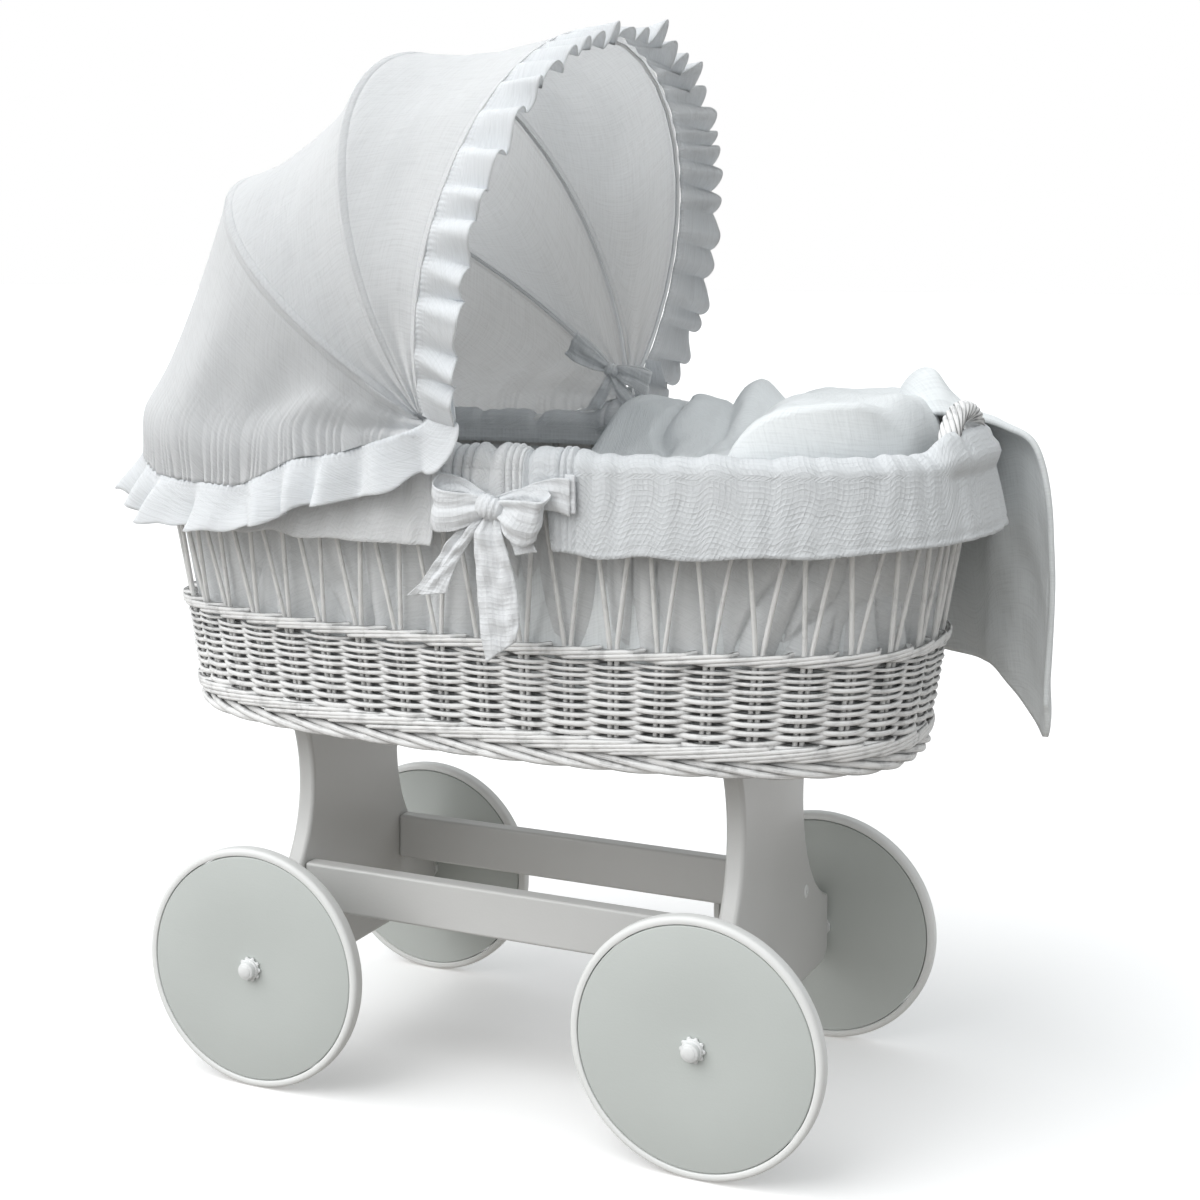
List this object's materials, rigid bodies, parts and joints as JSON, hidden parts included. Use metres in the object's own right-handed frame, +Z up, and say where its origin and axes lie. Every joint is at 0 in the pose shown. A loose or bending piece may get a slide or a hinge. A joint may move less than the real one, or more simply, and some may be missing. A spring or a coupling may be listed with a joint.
{
  "type": "bassinet on stand",
  "caption": "Oval wicker bassinet with a folding fabric hood and soft bedding, on a wheeled stand of shaped wooden end panels joined by rails.",
  "frame": {"origin": "on the floor, under the middle of the object's bounding box", "axes": "+X from the head end, under the hood, to the foot end; +Y from the near side to the far side; +Z up"},
  "size_m": [0.9891, 0.6498, 1.0874],
  "materials": {
    "panel_paint": "satin white paint",
    "wheel_paint": "satin grey-white lacquer",
    "wheel_edge": "rounded edge band, satin grey-white",
    "white_cap": "moulded white plastic",
    "steel": "zinc-plated",
    "white_rod": "white powder coat",
    "wicker": "woven cane painted satin white",
    "muslin": "white crinkled cotton muslin"
  },
  "bodies": {
    "stand": {"axle_pin_foot_far": "steel", "axle_pin_foot_near": "steel", "axle_pin_head_far": "steel", "axle_pin_head_near": "steel", "basket_floor": "wicker", "blanket": "muslin", "duvet": "muslin", "end_panel_foot": "panel_paint", "end_panel_head": "panel_paint", "floor_cleat_foot": "panel_paint", "floor_cleat_head": "panel_paint", "foot_border": "wicker", "foot_handle": "wicker", "hood_panel_rear": "muslin", "hood_ruffle_rear": "muslin", "hood_tie_far": "muslin", "hood_tie_near": "muslin", "hub_cap_foot_far": "white_cap", "hub_cap_foot_near": "white_cap", "hub_cap_head_far": "white_cap", "hub_cap_head_near": "white_cap", "lining": "muslin", "mattress": "muslin", "pivot_bracket_far": "white_rod", "pivot_bracket_near": "white_rod", "pivot_pin_far": "steel", "pivot_pin_near": "steel", "rail_bolt_foot_far": "white_cap", "rail_bolt_foot_near": "white_cap", "rail_bolt_head_far": "white_cap", "rail_bolt_head_near": "white_cap", "rail_far": "panel_paint", "rail_near": "panel_paint", "rim_border": "wicker", "rim_bow_far": "muslin", "rim_bow_near": "muslin", "rim_cover_foot": "muslin", "rim_cover_head": "muslin", "spacer_washer_foot_far": "white_cap", "spacer_washer_foot_near": "white_cap", "spacer_washer_head_far": "white_cap", "spacer_washer_head_near": "white_cap", "stake_cage": "wicker", "upper_waling": "wicker", "woven_wall": "wicker"},
    "hood_front": {"hoop_front": "white_rod", "hood_ruffle_front": "muslin"},
    "hood_middle": {"hoop_middle": "white_rod", "hood_panel_front": "muslin"},
    "hood_rear": {"hoop_rear": "white_rod", "hood_panel_middle": "muslin"},
    "wheel_head_near": {"wheel_disc_head_near": "wheel_paint", "wheel_band_head_near": "wheel_edge"},
    "wheel_head_far": {"wheel_disc_head_far": "wheel_paint", "wheel_band_head_far": "wheel_edge"},
    "wheel_foot_near": {"wheel_disc_foot_near": "wheel_paint", "wheel_band_foot_near": "wheel_edge"},
    "wheel_foot_far": {"wheel_disc_foot_far": "wheel_paint", "wheel_band_foot_far": "wheel_edge"}
  },
  "joints": [
    {"name": "hood_fold", "type": "hinge", "parent": "stand", "child": "hood_rear", "pos_m": [-0.012, 0, 0.699], "axis": [0, -1, 0], "range_deg": [0, 20], "deforming": ["hood_panel_rear"]},
    {"name": "hood_middle_fold", "type": "hinge", "parent": "hood_rear", "child": "hood_middle", "pos_m": [-0.012, 0, 0.699], "axis": [0, -1, 0], "range_deg": [0, 25], "deforming": ["hood_panel_middle"]},
    {"name": "hood_front_fold", "type": "hinge", "parent": "hood_middle", "child": "hood_front", "pos_m": [-0.012, 0, 0.699], "axis": [0, -1, 0], "range_deg": [0, 25], "deforming": ["hood_panel_front"]},
    {"name": "wheel_head_near_spin", "type": "hinge", "parent": "stand", "child": "wheel_head_near", "pos_m": [-0.242, -0.1996, 0.125], "axis": [0, 1, 0], "continuous": true},
    {"name": "wheel_head_far_spin", "type": "hinge", "parent": "stand", "child": "wheel_head_far", "pos_m": [-0.242, 0.1996, 0.125], "axis": [0, 1, 0], "continuous": true},
    {"name": "wheel_foot_near_spin", "type": "hinge", "parent": "stand", "child": "wheel_foot_near", "pos_m": [0.242, -0.1996, 0.125], "axis": [0, 1, 0], "continuous": true},
    {"name": "wheel_foot_far_spin", "type": "hinge", "parent": "stand", "child": "wheel_foot_far", "pos_m": [0.242, 0.1996, 0.125], "axis": [0, 1, 0], "continuous": true}
  ],
  "couplings": [
    {"joint": "hood_middle_fold", "follows": "hood_fold", "ratio": 1.25},
    {"joint": "hood_front_fold", "follows": "hood_fold", "ratio": 1.25}
  ]
}
